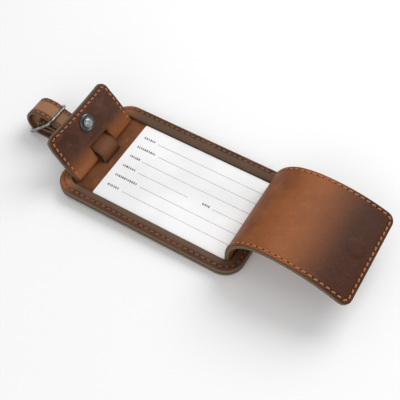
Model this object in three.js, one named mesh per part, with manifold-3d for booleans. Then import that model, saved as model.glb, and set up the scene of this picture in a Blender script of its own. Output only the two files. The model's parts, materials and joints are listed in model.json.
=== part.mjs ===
// Leather luggage tag, opened flat: a window frame stitched over a back panel, a long privacy flap
// that folds over the address card, a short snap flap that closes over it, and a short strap that
// passes through the tag and is threaded round a centre-bar buckle.
// Millimetres, +Z up, X along the tag (long flap at +X), Y across it.

import * as THREE from "three";
import { mergeVertices } from "three/addons/utils/BufferGeometryUtils.js";
import Module from "manifold-3d";

const wasm = await Module();
wasm.setup();

// ---- Clearances ----
const seam = 0.25;            // glue line between stacked or butted leather
const fit = 0.3;              // gap round a piece that passes through another
const arcSteps = 6;           // facets in a quarter turn of a plan corner
const roundSteps = 20;        // facets round a turned part
const overcut = 1;            // how far a cutting tool runs past the face it cuts

// ---- Tag body: x = 0 lies at the left edge of the card ----
const bodyLength = 113;
const bodyWidth = 70;
const bodyRight = 91.9;
const bodyCorner = 11;
const backThickness = 1.6;
const linerThickness = 0.5;
const linerInset = 0.6;       // the liner stops short of the panel's edge
const frameThickness = 2.25;
const sideRail = 7.5;         // width of the frame's two long sides
const leftRail = 6.3;
const rightRail = 6.9;
const windowCorner = 4.5;
const railCrown = 0.8;        // rounding of the frame's top edges
const stitchInset = 3.15;     // stitch line, in from the outer edge
const threadWidth = 0.8;
const threadHeight = 0.5;
const threadProud = 0.15;     // how far a thread stands out of its groove

const bodyLeft = bodyRight - bodyLength;
const windowLeft = bodyLeft + leftRail;
const windowRight = bodyRight - rightRail;
const windowHalf = bodyWidth / 2 - sideRail;
const linerBottom = backThickness + seam;
const linerTop = linerBottom + linerThickness;
const frameBottom = linerTop + seam;
const frameTop = frameBottom + frameThickness;

// ---- Card ----
const cardLength = 83;
const cardWidth = 54;
const cardThickness = 0.35;
const cardCorner = 0.6;
const cardBottom = linerTop + 0.15;

// ---- Root tabs: the skived ends of both flaps, sewn in under the frame's ends ----
const tabThickness = 1.0;
const tabGrip = 4.6;          // how far a tab reaches under the frame
const tabHalf = 24.5;
const tabRoof = 0.35;         // room above a tab inside the frame
const tabRelief = 3;          // how far the room for a tab reaches into the window
const tabWall = 2.05;         // thickness of a tab where it turns up

// ---- Flap leather: two layers ----
const layerThickness = 1.2;
const flapThickness = 2 * layerThickness + seam;

// ---- Long flap: the curve of its inner face, from the root crease to the tip ----
const creaseX = windowRight - 3.0;
const creaseHeight = frameTop + 0.3;
const flapRise = 3.5;         // straight stretch above the crease
const curlRadius = 20;
const curlTurn = 75;
const archRadius = 44;
const archTurn = 15;
const tailRadius = 93;
const tailTurn = 26;
const curlSplit = 35;         // turn of the curl that belongs to the first section
const tailSplit = 12;         // turn of the tail that belongs to the third section
const flapRootHalf = 27.2;
const flapTipHalf = 29.2;
const flapTipCorner = 5;
const socketFromTip = 10.8;
const planMargin = 1;         // flap stock outside the plan it is cut to
const planHeight = 100;       // tall enough to cut the whole curve
const flapInset = 2.4;        // stitch line on both flaps, in from the edge

// ---- Short flap ----
const shortHingeX = windowLeft + 5.6;
const shortHingeHeight = 5.4;
const shortHingeGap = 0.45;   // height of the fold left open between the tab and the flap
const shortGroove = 0.35;     // depth of the stitch groove in the flap's face
const shortStitchStart = 1.2; // stitch line starts this far from the fold
const shortLean = 124;        // direction of the flap above +X, degrees
const shortLength = 28.2;
const shortHalf = 25;
const shortCorner = 4;
const studFromHinge = 19.0;
const notchHalf = 7.6;        // notch at the fold, where the strap passes
const notchLength = 8;

// ---- Strap: heights are above the ground ----
const strapWidth = 12.7;
const strapThickness = 1.9;
const slotX = -6;             // middle of the slot through the tag
const upperRunHeight = 10.6;  // mid height of the run that leaves through the short flap
const bightRadius = 5.2;      // mid radius of the bend down into the slot
const foldRadius = 1.05;      // mid radius of the sharp fold under the tag
const upperJoinX = -20;
const lowerJoinX = -16;
const loopCentreX = -50.4;
const loopRadius = 9.3;       // outside of the loop
const tailStartX = -48.2;     // where the tail leaves the loop's crown
const tailSlope = 30;
const tailShoulder = 9;       // mid radius of the tail's first bend
const tailFoot = 12;          // mid radius of the bend back to level
const tailOverlap = 6.5;      // level end of the tail, on the upper run

// ---- Buckle ----
const barRadius = 1.0;
const barX = -49.4;
const wrapGap = 0.3;          // leather to centre bar
const frameLean = 44.5;       // slope of the buckle's plane above the ground
const buckleHigh = 11.6;      // centre bar to high bar
const buckleLow = 11.7;       // centre bar to low bar
const buckleHalf = 8.2;       // middle of a side bar from the centre line
const buckleWire = 1.9;
const buckleDepth = 1.5;
const buckleRound = 0.45;
const buckleCorner = 2.8;
const rampSlope = 6;          // rise of the upper run to the bar, and its bend radius
const rampBend = 20;
const rampLength = 9;
const underSlope = 9;         // rise of the folded end to the upper run, and its bend radius
const underBend = 14;
const underStart = 2;         // straight leather behind the wrap
const underLevel = 4.5;

// ---- Snap ----
const flangeRadius = 5.1;
const flangeHeight = 0.5;
const shankRadius = 1.5;
const flangeBevel = 0.15;
const faceGap = 0.05;         // metal to leather
const capRadius = 4.6;
const capHeight = 0.7;
const capCover = 0.2;         // leather left over the hidden cap of the socket
const socketCapHeight = 0.5;
const socketCapRoom = 0.9;
const socketHeight = 1.6;     // rim above the flange
const socketRim = 3.6;
const socketFoot = 4.0;
const socketMouth = 2.5;
const socketDepth = 1.1;
const studHeight = 2.1;       // post above the flap's face
const studCollar = 1.1;
const studCollarRadius = 3.1;
const studRadius = 2.1;
const studHollow = 0.9;

const rad = (degrees) => (degrees * Math.PI) / 180;

// The tag rests with its left end on the strap's lower run and its right bottom edge on the ground.
const lift = strapThickness + 2 * seam;
const tilt = Math.asin(lift / bodyLength);

// ---- Materials ----
const finish = (color, roughness, metalness = 0) =>
  new THREE.MeshStandardMaterial({ color, roughness, metalness });
const tanLeather = finish(0x8a5530, 0.5);
const darkLeather = finish(0x4f3024, 0.5);
const rawLeather = finish(0x6b5f4c, 0.8);
const threadMaterial = finish(0xa3602f, 0.8);
const paper = finish(0xe6e4e0, 0.9);
const steel = finish(0xb4b4b2, 0.3, 1);
const nickel = finish(0x6f7374, 0.35, 1);

// ---- Geometry helpers ----

// A closed geometry as a solid for cutting and joining.
function solid(geometry) {
  const bare = geometry.clone();
  bare.deleteAttribute("normal");
  bare.deleteAttribute("uv");
  const merged = mergeVertices(bare, 1e-4);
  const mesh = new wasm.Mesh({
    numProp: 3,
    vertProperties: new Float32Array(merged.attributes.position.array),
    triVerts: new Uint32Array(merged.index.array),
  });
  return new wasm.Manifold(mesh);
}

// A solid back as a geometry.
function geometryOf(body) {
  const mesh = body.getMesh();
  const geometry = new THREE.BufferGeometry();
  geometry.setAttribute("position", new THREE.BufferAttribute(mesh.vertProperties, 3));
  geometry.setIndex(new THREE.BufferAttribute(mesh.triVerts, 1));
  geometry.computeVertexNormals();
  return geometry;
}

function piece(name, shape, material) {
  const geometry = shape instanceof THREE.BufferGeometry ? shape : geometryOf(shape);
  const mesh = new THREE.Mesh(geometry, material);
  mesh.name = name;
  return mesh;
}

// Rectangle with one radius for its left corners and one for its right corners.
function plate(left, right, half, leftRadius, rightRadius = leftRadius) {
  const shape = new THREE.Shape();
  shape.moveTo(left + leftRadius, -half);
  shape.lineTo(right - rightRadius, -half);
  if (rightRadius > 0) shape.absarc(right - rightRadius, -half + rightRadius, rightRadius, rad(-90), 0);
  shape.lineTo(right, half - rightRadius);
  if (rightRadius > 0) shape.absarc(right - rightRadius, half - rightRadius, rightRadius, 0, rad(90));
  shape.lineTo(left + leftRadius, half);
  if (leftRadius > 0) shape.absarc(left + leftRadius, half - leftRadius, leftRadius, rad(90), rad(180));
  shape.lineTo(left, -half + leftRadius);
  if (leftRadius > 0) shape.absarc(left + leftRadius, -half + leftRadius, leftRadius, rad(180), rad(270));
  return shape;
}

function slab(shape, bottom, top) {
  const geometry = new THREE.ExtrudeGeometry(shape, {
    depth: top - bottom,
    bevelEnabled: false,
    curveSegments: arcSteps,
  });
  return geometry.translate(0, 0, bottom);
}

function box(left, right, near, far, bottom, top) {
  const geometry = new THREE.BoxGeometry(right - left, far - near, top - bottom);
  return solid(geometry.translate((left + right) / 2, (near + far) / 2, (bottom + top) / 2));
}

// A shape drawn in X and Z, extruded across the tag from -half to half.
function across(shape, half) {
  const geometry = new THREE.ExtrudeGeometry(shape, { depth: 2 * half, bevelEnabled: false });
  return geometry.rotateX(rad(90)).translate(0, half, 0);
}

// A line drawn by heading in X and Z. Each step is { line } or { radius, turn } with turn in
// degrees, positive to the left. Returns points with the unit vector to their left.
function trace(x, z, heading, steps) {
  let angle = rad(heading);
  const at = () => ({ x, z, left: [-Math.sin(angle), Math.cos(angle)], angle });
  const points = [at()];
  for (const step of steps) {
    if (step.line) {
      x += step.line * Math.cos(angle);
      z += step.line * Math.sin(angle);
      points.push(at());
    } else {
      const side = Math.sign(step.turn);
      const centreX = x - side * step.radius * Math.sin(angle);
      const centreZ = z + side * step.radius * Math.cos(angle);
      const count = Math.max(2, Math.ceil(Math.abs(step.turn) / (step.facet ?? 8)));
      for (let i = 0; i < count; i++) {
        angle += rad(step.turn) / count;
        x = centreX + side * step.radius * Math.sin(angle);
        z = centreZ - side * step.radius * Math.cos(angle);
        points.push(at());
      }
    }
  }
  return points;
}

// The band between two offsets to the left of a traced line.
function band(points, inner, outer) {
  const place = (point, offset) =>
    new THREE.Vector2(point.x + point.left[0] * offset, point.z + point.left[1] * offset);
  const near = points.map((point) => place(point, inner));
  const far = points.map((point) => place(point, outer)).reverse();
  return new THREE.Shape([...near, ...far]);
}

function cylinder(radius, height, bottom) {
  const geometry = new THREE.CylinderGeometry(radius, radius, height, roundSteps);
  return geometry.rotateX(rad(90)).translate(0, 0, bottom + height / 2);
}

// A turned part: radius and height pairs from the axis and back to it.
function turned(profile) {
  const points = profile.map(([radius, height]) => new THREE.Vector2(radius, height));
  return new THREE.LatheGeometry(points, roundSteps).rotateX(rad(90));
}

// ---- Tag body ----

function backPanel() {
  const panel = solid(slab(plate(bodyLeft, bodyRight, bodyWidth / 2, bodyCorner), 0, backThickness));
  return panel.subtract(strapSlot());
}

function liner() {
  const left = bodyLeft + linerInset;
  const right = bodyRight - linerInset;
  const outline = plate(left, right, bodyWidth / 2 - linerInset, bodyCorner - linerInset);
  return solid(slab(outline, linerBottom, linerTop)).subtract(strapSlot());
}

// The rectangular slot through the back panel and the liner.
function strapSlot() {
  const half = strapWidth / 2 + fit;
  const left = slotX - strapThickness / 2 - foldRadius;
  const right = slotX + strapThickness / 2 + 2 * fit;
  return box(left, right, -half, half, -overcut, frameTop);
}

// A closed ring of rectangular section along the stitch line.
function stitchRing(width, bottom, top) {
  const outer = stitchInset - width / 2;
  const inner = stitchInset + width / 2;
  const ring = (inset) =>
    plate(bodyLeft + inset, bodyRight - inset, bodyWidth / 2 - inset, bodyCorner - inset);
  const core = slab(ring(inner), bottom - overcut, top + overcut);
  return solid(slab(ring(outer), bottom, top)).subtract(solid(core));
}

function windowFrame() {
  const outline = plate(
    bodyLeft + railCrown, bodyRight - railCrown, bodyWidth / 2 - railCrown, bodyCorner - railCrown,
  );
  const hole = plate(
    windowLeft - railCrown, windowRight + railCrown, windowHalf + railCrown, windowCorner + railCrown,
  );
  outline.holes.push(new THREE.Path(hole.getPoints(arcSteps)));
  const geometry = new THREE.ExtrudeGeometry(outline, {
    depth: frameThickness - 2 * railCrown,
    bevelThickness: railCrown,
    bevelSize: railCrown,
    bevelSegments: 2,
    curveSegments: arcSteps,
  });
  const ring = solid(geometry.translate(0, 0, frameBottom + railCrown));
  const groove = stitchRing(threadWidth + fit, frameTop - threadHeight, frameTop + overcut);
  const roof = frameBottom + tabThickness + tabRoof;
  const half = tabHalf + fit;
  const rightRelief = box(windowRight - tabRelief, windowRight + tabGrip + fit, -half, half, 0, roof);
  const leftRelief = box(windowLeft - tabGrip - fit, windowLeft + tabRelief, -half, half, 0, roof);
  return ring.subtract(groove).subtract(rightRelief).subtract(leftRelief);
}

function frameThread() {
  const bottom = frameTop - threadHeight + threadProud;
  return stitchRing(threadWidth, bottom, bottom + threadHeight);
}

function card() {
  const outline = plate(0, cardLength, cardWidth / 2, cardCorner);
  return slab(outline, cardBottom, cardBottom + cardThickness);
}

// ---- Long flap ----

// The inner face of the whole flap, from the crease to the tip.
const curlFirst = { radius: curlRadius, turn: -curlSplit };
const curlSecond = { radius: curlRadius, turn: -(curlTurn - curlSplit) };
const arch = { radius: archRadius, turn: -archTurn, facet: 5 };
const tailFirst = { radius: tailRadius, turn: -tailSplit, facet: 3 };
const tailSecond = { radius: tailRadius, turn: -(tailTurn - tailSplit), facet: 3 };

function longFlapSections() {
  const parts = [[{ line: flapRise }, curlFirst], [curlSecond], [arch, tailFirst], [tailSecond]];
  const sections = [];
  let start = { x: creaseX, z: creaseHeight, angle: rad(90) };
  for (const steps of parts) {
    const points = trace(start.x, start.z, THREE.MathUtils.radToDeg(start.angle), steps);
    sections.push(points);
    start = points[points.length - 1];
  }
  return sections;
}

// Plan of the flap: a little wider at its rounded tip than at its root.
function longFlapPlan() {
  const sections = longFlapSections();
  const tip = sections[3][sections[3].length - 1].x;
  const root = creaseX - planMargin;
  const lean = Math.atan2(flapTipHalf - flapRootHalf, tip - root);
  const r = flapTipCorner;
  const shape = new THREE.Shape();
  shape.moveTo(root, -flapRootHalf);
  shape.lineTo(tip - r, -flapTipHalf + (r * (flapTipHalf - flapRootHalf)) / (tip - root));
  shape.absarc(tip - r, -flapTipHalf + r, r, rad(-90) - lean, 0);
  shape.lineTo(tip, flapTipHalf - r);
  shape.absarc(tip - r, flapTipHalf - r, r, 0, rad(90) + lean);
  shape.lineTo(root, flapRootHalf);
  return solid(slab(shape, 0, planHeight));
}

// One layer of one section. The cut before the next section leaves the seam gap.
function longFlapLayer(points, inner, outer, last) {
  const trimmed = last ? points : points.slice(0, -1);
  if (!last) {
    const end = points[points.length - 1];
    trimmed.push({
      ...end,
      x: end.x - seam * Math.cos(end.angle),
      z: end.z - seam * Math.sin(end.angle),
    });
  }
  const shape = band(trimmed, -outer, -inner);
  return solid(across(shape, flapTipHalf + planMargin)).intersect(longFlapPlan());
}

// Places a part made at the origin on the flap's last section, its +Z along the inner face's normal.
function onTail(shape) {
  const sections = longFlapSections();
  const tip = sections[3][sections[3].length - 1];
  const angle = tip.angle + socketFromTip / tailRadius;
  const x = tip.x + tailRadius * (Math.sin(tip.angle) - Math.sin(angle));
  const z = tip.z + tailRadius * (Math.cos(angle) - Math.cos(tip.angle));
  return shape.clone().applyMatrix4(new THREE.Matrix4().makeRotationY(-angle).setPosition(x, 0, z));
}

function longFlapRoot() {
  const shape = new THREE.Shape();
  const bottom = frameBottom;
  const top = bottom + tabThickness;
  const lip = cardBottom + cardThickness + fit;
  const wall = creaseX + tabWall;
  shape.moveTo(windowRight + tabGrip, bottom);
  shape.lineTo(windowRight + tabGrip, top);
  shape.lineTo(creaseX + flapThickness, top);
  shape.lineTo(creaseX + flapThickness, creaseHeight - seam);
  shape.lineTo(creaseX, creaseHeight - seam);
  shape.lineTo(creaseX, lip);
  shape.lineTo(wall, lip);
  shape.lineTo(wall, bottom);
  return across(shape, tabHalf);
}

// The cap is buried in the inner layer, under a thin cover of leather.
const socketCapTop = -layerThickness + capCover;

// The flange clears the hollow side of the curved leather by a seam.
function socketShape() {
  const seat = -flapThickness - seam;
  const base = seat - flangeHeight;
  const rim = base - socketHeight;
  const shankTop = socketCapTop - socketCapHeight - seam / 2;
  return turned([
    [0, rim + socketDepth],
    [socketMouth, rim + socketDepth],
    [socketMouth, rim],
    [socketRim, rim],
    [socketFoot, base],
    [flangeRadius, base],
    [flangeRadius, seat],
    [shankRadius, seat],
    [shankRadius, shankTop],
    [0, shankTop],
  ]);
}

function socketCap() {
  const bottom = socketCapTop - socketCapHeight;
  return turned([
    [0, bottom],
    [capRadius, bottom],
    [capRadius, bottom + flangeBevel],
    [shankRadius * 2, socketCapTop],
    [0, socketCapTop],
  ]);
}

function longFlap() {
  const sections = longFlapSections();
  const names = ["crease", "curl", "arch", "tail"];
  const meshes = [];
  const pocketBottom = socketCapTop - socketCapHeight - seam / 2;
  const capPocket = solid(onTail(cylinder(capRadius + fit, socketCapRoom, pocketBottom)));
  const shankHole = solid(onTail(cylinder(shankRadius + fit, flapThickness, pocketBottom - flapThickness)));
  sections.forEach((points, i) => {
    const last = i === 3;
    let face = longFlapLayer(points, 0, layerThickness, last);
    let shell = longFlapLayer(points, layerThickness + seam, flapThickness, last);
    if (last) {
      face = face.subtract(capPocket);
      shell = shell.subtract(capPocket).subtract(shankHole);
    }
    meshes.push(piece(`long_flap_face_${names[i]}`, face, tanLeather));
    meshes.push(piece(`long_flap_shell_${names[i]}`, shell, darkLeather));
  });
  meshes.push(piece("snap_socket", onTail(socketShape()), nickel));
  meshes.push(piece("snap_socket_cap", onTail(socketCap()), steel));
  return meshes;
}

// ---- Short flap: drawn flat with its face at z = 0 and its fold at x = 0 ----

function shortFlapLayer(bottom, top) {
  const shape = plate(0, shortLength, shortHalf, 0, shortCorner);
  const low = bottom - overcut;
  const high = top + overcut;
  const notch = box(-overcut, notchLength, -notchHalf, notchHalf, low, high);
  const shank = cylinder(shankRadius + fit, high - low, low).translate(studFromHinge, 0, 0);
  return solid(slab(shape, bottom, top)).subtract(notch).subtract(solid(shank));
}

function studShape() {
  const neck = studRadius - flangeBevel;
  const bulge = 2 * flangeBevel;
  const hollow = studHeight - studHollow;
  return turned([
    [0, -layerThickness],
    [shankRadius, -layerThickness],
    [shankRadius, faceGap],
    [flangeRadius, faceGap],
    [flangeRadius, flangeHeight - flangeBevel],
    [flangeRadius - bulge, flangeHeight],
    [studCollarRadius + flangeBevel, flangeHeight],
    [studCollarRadius, studCollar],
    [studRadius, studCollar],
    [neck, studCollar + bulge],
    [studRadius, studHeight - bulge],
    [studRadius - bulge, studHeight],
    [studHollow, studHeight],
    [studHollow - bulge, hollow],
    [0, hollow],
  ]);
}

function studCap() {
  const top = -flapThickness - faceGap;
  return turned([
    [0, top - capHeight],
    [capRadius - 2 * capHeight, top - capHeight],
    [capRadius, top - seam],
    [capRadius, top],
    [shankRadius, top],
    [shankRadius, -layerThickness - fit],
    [0, -layerThickness - fit],
  ]);
}

// Stitch line round the flap's three free edges, lying in a shallow groove of the face.
function shortFlapStitch(width, bottom, top) {
  const run = (start, offset) => {
    const end = shortLength - flapInset + offset;
    return plate(start, end, shortHalf - flapInset + offset, 0, shortCorner - flapInset + offset);
  };
  const wide = solid(slab(run(shortStitchStart, width / 2), bottom, top));
  const core = slab(run(0, -width / 2), bottom - overcut, top + overcut);
  return wide.subtract(solid(core));
}

function shortFlap() {
  const group = new THREE.Group();
  group.position.set(shortHingeX, 0, shortHingeHeight);
  group.rotation.y = -rad(shortLean);
  const groove = shortFlapStitch(threadWidth + fit, -shortGroove, overcut);
  const thread = shortFlapStitch(threadWidth, threadProud - shortGroove, threadProud);
  const stud = studShape().translate(studFromHinge, 0, 0);
  const cap = studCap().translate(studFromHinge, 0, 0);
  const face = shortFlapLayer(-layerThickness, 0).subtract(groove);
  const flipped = new THREE.Group();
  flipped.rotation.x = rad(180);
  flipped.add(piece("short_flap_face", face, darkLeather));
  const shell = shortFlapLayer(-flapThickness, -layerThickness - seam);
  flipped.add(piece("short_flap_shell", shell, tanLeather));
  flipped.add(piece("short_flap_thread", thread, threadMaterial));
  flipped.add(piece("snap_stud", stud, nickel));
  flipped.add(piece("snap_stud_cap", cap, steel));
  group.add(flipped);
  return group;
}

function shortFlapRoot() {
  const bottom = frameBottom;
  const top = bottom + tabThickness;
  const shape = new THREE.Shape();
  shape.moveTo(windowLeft - tabGrip, bottom);
  shape.lineTo(shortHingeX, bottom);
  shape.lineTo(shortHingeX, shortHingeHeight - shortHingeGap);
  shape.lineTo(shortHingeX - tabWall, top);
  shape.lineTo(windowLeft - tabGrip, top);
  return across(shape, tabHalf);
}

// ---- Strap: one length of leather in three stretches ----

function strapStretch(points) {
  return across(band(points, -strapThickness / 2, strapThickness / 2), strapWidth / 2);
}

// Out through the short flap, down through the slot and folded back under the tag.
function strapBight() {
  const mid = strapThickness / 2;
  const points = trace(upperJoinX, upperRunHeight, 0, [
    { line: slotX - bightRadius - upperJoinX },
    { radius: bightRadius, turn: -90, facet: 15 },
    { line: upperRunHeight - bightRadius - foldRadius - mid },
    { radius: foldRadius, turn: -90, facet: 30 },
    { line: slotX - foldRadius - lowerJoinX - seam },
  ]);
  return strapStretch(points);
}

// Along the ground, up round the loop and down under the high bar to the free end.
function strapLoop() {
  const mid = strapThickness / 2;
  const crown = 2 * loopRadius - mid;
  const slope = rad(tailSlope);
  const bends = (tailShoulder + tailFoot) * (1 - Math.cos(slope));
  const landing = upperRunHeight + strapThickness + fit;
  const points = trace(lowerJoinX, mid, 180, [
    { line: lowerJoinX - loopCentreX },
    { radius: loopRadius - mid, turn: -180, facet: 12 },
    { line: tailStartX - loopCentreX },
    { radius: tailShoulder, turn: -tailSlope, facet: 10 },
    { line: (crown - landing - bends) / Math.sin(slope) },
    { radius: tailFoot, turn: tailSlope, facet: 10 },
    { line: tailOverlap },
  ]);
  return strapStretch(points);
}

// From the short flap to the buckle, round its centre bar and back under itself.
const wrapRadius = barRadius + wrapGap + strapThickness / 2;
const rampRun = 2 * rampBend * Math.sin(rad(rampSlope)) + rampLength * Math.cos(rad(rampSlope));
const rampRise = 2 * rampBend * (1 - Math.cos(rad(rampSlope))) + rampLength * Math.sin(rad(rampSlope));
const barHeight = upperRunHeight + rampRise - wrapRadius;

function strapBuckleEnd() {
  const start = upperJoinX - seam;
  const underRise = upperRunHeight - strapThickness - fit - (barHeight - wrapRadius);
  const underLine = (underRise - 2 * underBend * (1 - Math.cos(rad(underSlope)))) / Math.sin(rad(underSlope));
  const points = trace(start, upperRunHeight, 180, [
    { line: start - rampRun - barX },
    { radius: rampBend, turn: -rampSlope },
    { line: rampLength },
    { radius: rampBend, turn: rampSlope },
    { radius: wrapRadius, turn: 180, facet: 15 },
    { line: underStart },
    { radius: underBend, turn: underSlope },
    { line: underLine },
    { radius: underBend, turn: -underSlope },
    { line: underLevel },
  ]);
  return strapStretch(points);
}

// ---- Buckle: drawn flat about its centre bar, high bar at +X ----

function buckleFrame() {
  const inset = buckleWire / 2 + buckleRound;
  const edge = buckleWire / 2 - buckleRound;
  const outline = plate(
    -buckleLow - edge, buckleHigh + edge, buckleHalf + edge, buckleCorner, buckleCorner,
  );
  const hole = plate(
    -buckleLow + edge, buckleHigh - edge, buckleHalf - edge, buckleCorner - inset + edge,
  );
  outline.holes.push(new THREE.Path(hole.getPoints(arcSteps)));
  const ring = new THREE.ExtrudeGeometry(outline, {
    depth: buckleDepth - 2 * buckleRound,
    bevelThickness: buckleRound,
    bevelSize: buckleRound,
    bevelSegments: 2,
    curveSegments: arcSteps,
  });
  const bar = new THREE.CylinderGeometry(barRadius, barRadius, 2 * buckleHalf, 16);
  const flat = solid(ring.translate(0, 0, buckleRound - buckleDepth / 2)).add(solid(bar));
  const mesh = piece("buckle_frame", flat, steel);
  mesh.position.set(barX, 0, barHeight);
  mesh.rotation.y = -rad(frameLean);
  return mesh;
}

// ---- Assembly ----

function tag() {
  const laid = new THREE.Group();
  laid.add(piece("back_panel", backPanel(), rawLeather));
  laid.add(piece("floor_lining", liner(), tanLeather));
  laid.add(piece("window_frame", windowFrame(), tanLeather));
  laid.add(piece("frame_thread", frameThread(), threadMaterial));
  laid.add(piece("address_card", card(), paper));
  laid.add(piece("long_flap_root", longFlapRoot(), tanLeather));
  laid.add(piece("short_flap_root", shortFlapRoot(), tanLeather));
  laid.add(...longFlap());
  laid.add(shortFlap());
  laid.position.x = -bodyRight;
  const leaning = new THREE.Group();
  leaning.add(laid);
  leaning.position.x = bodyRight;
  leaning.rotation.y = tilt;
  return leaning;
}

const model = new THREE.Group();
model.add(tag());
model.add(piece("strap_bight", strapBight(), tanLeather));
model.add(piece("strap_loop", strapLoop(), tanLeather));
model.add(piece("strap_buckle_end", strapBuckleEnd(), tanLeather));
model.add(buckleFrame());

// The origin is under the middle of the whole tag, on the ground.
const bounds = new THREE.Box3().setFromObject(model, true);
model.position.set(-(bounds.min.x + bounds.max.x) / 2, 0, -bounds.min.z);

export default model;
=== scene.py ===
"""Leather luggage tag, opened: looks built round the CAD frame, laid out as an add-on."""

import json
import math
import random

import bmesh
import bpy
from mathutils import Matrix, Vector


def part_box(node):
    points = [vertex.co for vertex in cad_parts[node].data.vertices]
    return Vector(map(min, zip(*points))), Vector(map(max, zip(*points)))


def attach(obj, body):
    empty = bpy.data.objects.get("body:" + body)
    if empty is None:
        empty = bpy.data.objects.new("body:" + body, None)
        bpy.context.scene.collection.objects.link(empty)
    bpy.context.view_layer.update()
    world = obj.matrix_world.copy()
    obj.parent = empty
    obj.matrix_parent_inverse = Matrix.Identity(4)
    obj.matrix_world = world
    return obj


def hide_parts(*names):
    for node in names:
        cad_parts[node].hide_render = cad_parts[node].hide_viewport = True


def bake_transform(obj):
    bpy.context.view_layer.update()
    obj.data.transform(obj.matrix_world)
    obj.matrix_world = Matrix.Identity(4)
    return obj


bl_info = {
    "name": "Leather Luggage Tag",
    "version": (1, 0, 0),
    "blender": (4, 5, 0),
    "location": "3D View > Sidebar > Tag",
    "description": "Builds a stitched leather luggage tag with its card, flaps, snap, strap and buckle",
    "category": "Add Mesh",
}

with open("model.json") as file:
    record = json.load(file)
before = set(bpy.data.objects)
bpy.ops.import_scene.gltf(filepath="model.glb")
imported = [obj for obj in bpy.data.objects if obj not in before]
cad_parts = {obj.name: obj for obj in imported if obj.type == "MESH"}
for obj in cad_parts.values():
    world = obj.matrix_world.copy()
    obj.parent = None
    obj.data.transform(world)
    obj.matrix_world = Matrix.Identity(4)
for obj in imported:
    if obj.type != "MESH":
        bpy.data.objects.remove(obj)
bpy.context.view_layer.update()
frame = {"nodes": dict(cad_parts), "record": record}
JOINTS = {joint["name"]: joint for joint in frame["record"]["behaviour"]["joints"]}
MM = 0.001

# ---- Sizes in millimetres, close to those of the CAD pieces ----
BODY_LENGTH, BODY_WIDTH, BODY_CORNER = 113.0, 70.0, 11.0
BODY_RIGHT = 91.9
BODY_LEFT = BODY_RIGHT - BODY_LENGTH
BACK_THICKNESS = 1.6
LINER_BOTTOM, LINER_TOP = 1.85, 2.35
SIDE_RAIL, LEFT_RAIL, RIGHT_RAIL = 7.5, 6.3, 6.9
WINDOW_CORNER = 4.5
STITCH_INSET = 2.55
CARD_TOP = 2.85
CARD_ROOM, CARD_ROOM_TOP = 0.9, 3.3  # how far the card may pass under the right rail, and how high
SLOT_LEFT, SLOT_RIGHT, SLOT_HALF = -8.0, -4.45, 6.65
FLAP_THICKNESS = 2.65
CREASE_X, CREASE_HEIGHT, FLAP_RISE = 82.0, 5.15, 3.5
FLAP_CURL, FLAP_ARCH, FLAP_TAIL = (20, -75), (44, -15), (93, -26)  # radius, turn in degrees
FLAP_ROOT_HALF, FLAP_TIP_HALF, FLAP_CORNER = 27.2, 29.2, 5.0
FLAP_START = -1.9
FLAP_CUTS = [8.5, 22.7, 45.0]  # where the long flap is divided, between its joints
SOCKET_FROM_TIP = 10.8
SHORT_X, SHORT_Z, SHORT_LEAN = -9.2, 5.4, 124.0
SHORT_LENGTH, SHORT_HALF, SHORT_CORNER = 28.2, 25.0, 4.4
SHORT_FOLD_RADIUS, SHORT_TAB = 1.8, 6.2
STUD_FROM_HINGE = 19.0
NOTCH_HALF, NOTCH_LENGTH = 7.6, 8.0
STRAP_HALF, STRAP_THICKNESS = 6.35, 1.9
STRAP_TOP = (-20, 10.6)  # where the stretch to the buckle and the stretch to the slot join
STRAP_TOP_RUN = 29.4
RAMP_RADIUS, RAMP_TURN, RAMP_RUN = 20, 6, 9
BAR_RADIUS, BAR_WRAP = 1.0, 2.25  # the bar, and the strap's middle layer round it
BUCKLE_LEAN, BUCKLE_HIGH, BUCKLE_LOW, BUCKLE_HALF = 44.5, 11.6, 11.7, 8.2
BUCKLE_WIRE, BUCKLE_DEPTH, BUCKLE_CORNER = 1.9, 1.6, 4.2

TILT = math.asin(-frame["record"]["mounts"][0]["axis"][0])
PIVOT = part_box("back_panel")[1][0] / MM - BACK_THICKNESS * math.sin(TILT)


# ---- Places ----

def tag_point(x, y, z):
    """A point of the tag body, which leans on the strap, in metres."""
    along = x - BODY_RIGHT
    return Vector((
        PIVOT + along * math.cos(TILT) + z * math.sin(TILT),
        y,
        z * math.cos(TILT) - along * math.sin(TILT),
    )) * MM


def ground_point(x, y, z):
    """A point of the strap or buckle, which stand on the ground, in metres."""
    return Vector((x + PIVOT - BODY_RIGHT, y, z)) * MM


class Path:
    """A line of straights and arcs in X and Z, read by its length."""

    def __init__(self, x, z, heading, steps):
        self.parts = []
        angle = math.radians(heading)
        for step in steps:
            if len(step) == 1:
                run, bend = step[0], 0.0
            else:
                run = step[0] * abs(math.radians(step[1]))
                bend = math.radians(step[1]) / run
            self.parts.append((run, x, z, angle, bend))
            x, z, angle = self.ahead(x, z, angle, bend, run)
        self.length = sum(part[0] for part in self.parts)

    @staticmethod
    def ahead(x, z, angle, bend, run):
        """The place and direction after a run of one bend."""
        if abs(bend) < 1e-9:
            return x + run * math.cos(angle), z + run * math.sin(angle), angle
        after = angle + bend * run
        return (
            x + (math.sin(after) - math.sin(angle)) / bend,
            z - (math.cos(after) - math.cos(angle)) / bend,
            after,
        )

    def at(self, s):
        """The place and direction at a length; the ends carry on past the line."""
        for run, x, z, angle, bend in self.parts[:-1]:
            if s <= run:
                return self.ahead(x, z, angle, bend, s)
            s -= run
        return self.ahead(*self.parts[-1][1:], s)


LONG_PATH = Path(CREASE_X, CREASE_HEIGHT, 90, [(FLAP_RISE,), FLAP_CURL, FLAP_ARCH, FLAP_TAIL])
LONG_LENGTH = LONG_PATH.length

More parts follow.
